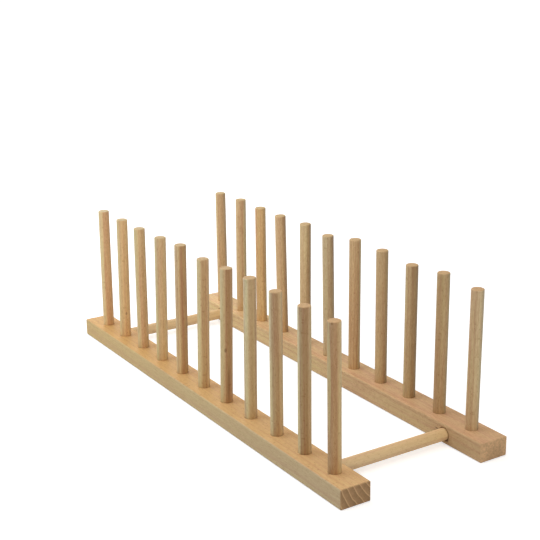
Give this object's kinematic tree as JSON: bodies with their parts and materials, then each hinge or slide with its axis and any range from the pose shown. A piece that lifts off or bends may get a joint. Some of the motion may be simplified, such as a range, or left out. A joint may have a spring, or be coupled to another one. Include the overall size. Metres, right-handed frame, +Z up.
{
  "type": "plate rack",
  "caption": "Low countertop rack: two parallel wooden rails tied by dowel crossbars, each rail carrying a row of upright dowel posts that form slots.",
  "frame": {"origin": "middle of the footprint, level with the rails' undersides", "axes": "+X to the right across the rack, +Y along the rails towards the rear, +Z up along the posts"},
  "size_m": [0.148, 0.408, 0.126],
  "materials": {
    "rail_wood": "planed hardwood, waxed matt, softened edges, bare end grain",
    "post_wood": "turned hardwood dowel, smooth matt, pale end grain on top",
    "crossbar_wood": "turned hardwood dowel, smooth matt"
  },
  "bodies": {
    "root": {"left_rail": "rail_wood", "right_rail": "rail_wood", "front_crossbar": "crossbar_wood", "rear_crossbar": "crossbar_wood", "left_post_01": "post_wood", "left_post_02": "post_wood", "left_post_03": "post_wood", "left_post_04": "post_wood", "left_post_05": "post_wood", "left_post_06": "post_wood", "left_post_07": "post_wood", "left_post_08": "post_wood", "left_post_09": "post_wood", "left_post_10": "post_wood", "left_post_11": "post_wood", "right_post_01": "post_wood", "right_post_02": "post_wood", "right_post_03": "post_wood", "right_post_04": "post_wood", "right_post_05": "post_wood", "right_post_06": "post_wood", "right_post_07": "post_wood", "right_post_08": "post_wood", "right_post_09": "post_wood", "right_post_10": "post_wood", "right_post_11": "post_wood"}
  },
  "joints": []
}
